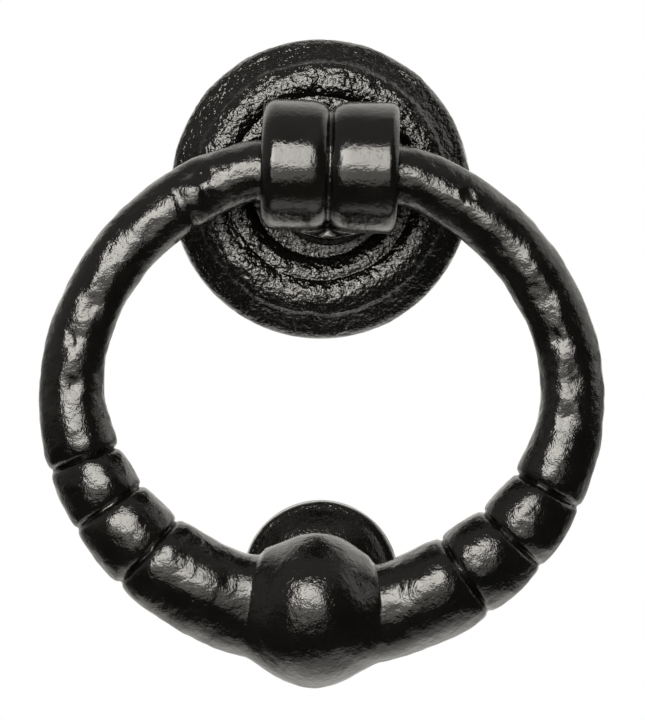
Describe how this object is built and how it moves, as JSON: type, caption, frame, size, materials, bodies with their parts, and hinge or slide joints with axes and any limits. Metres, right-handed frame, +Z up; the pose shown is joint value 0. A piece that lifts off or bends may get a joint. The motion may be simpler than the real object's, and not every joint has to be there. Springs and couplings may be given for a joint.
{
  "type": "door knocker",
  "caption": "Ring door knocker with a beaded hoop and striking ball, hung from an eye on a round moulded rose, with a separate striker button and through-door fixings.",
  "frame": {"origin": "centre of the rose's back face, on the outer face of the door", "axes": "+Y into the door, square to its face; +Z up the door; +X to the right as seen by a caller in front of the door"},
  "size_m": [0.1211, 0.1085, 0.1398],
  "materials": {
    "smooth_black": "gloss black paint over a fettled casting",
    "rough_black": "gloss black paint over a rough sand casting",
    "zinc_steel": "bright zinc plate"
  },
  "bodies": {
    "door_set": {"rose_plate": "rough_black", "striker_button": "rough_black", "eye_casting": "smooth_black", "rose_lock_washer": "zinc_steel", "rose_lock_nut": "zinc_steel", "knocker_stud": "zinc_steel", "knocker_washer": "zinc_steel", "knocker_spring_washer": "zinc_steel", "knocker_cap_nut": "zinc_steel", "striker_stud": "zinc_steel", "striker_washer": "zinc_steel", "striker_spring_washer": "zinc_steel", "striker_cap_nut": "zinc_steel"},
    "ring": {"ring_hoop": "smooth_black", "ring_hinge_bar": "smooth_black"}
  },
  "joints": [
    {"name": "ring_swing", "type": "hinge", "parent": "door_set", "child": "ring", "pos_m": [0.0019, -0.0285, 0.00285], "axis": [-0.9994, 0, 0.0349], "range_deg": [0, 187]}
  ]
}
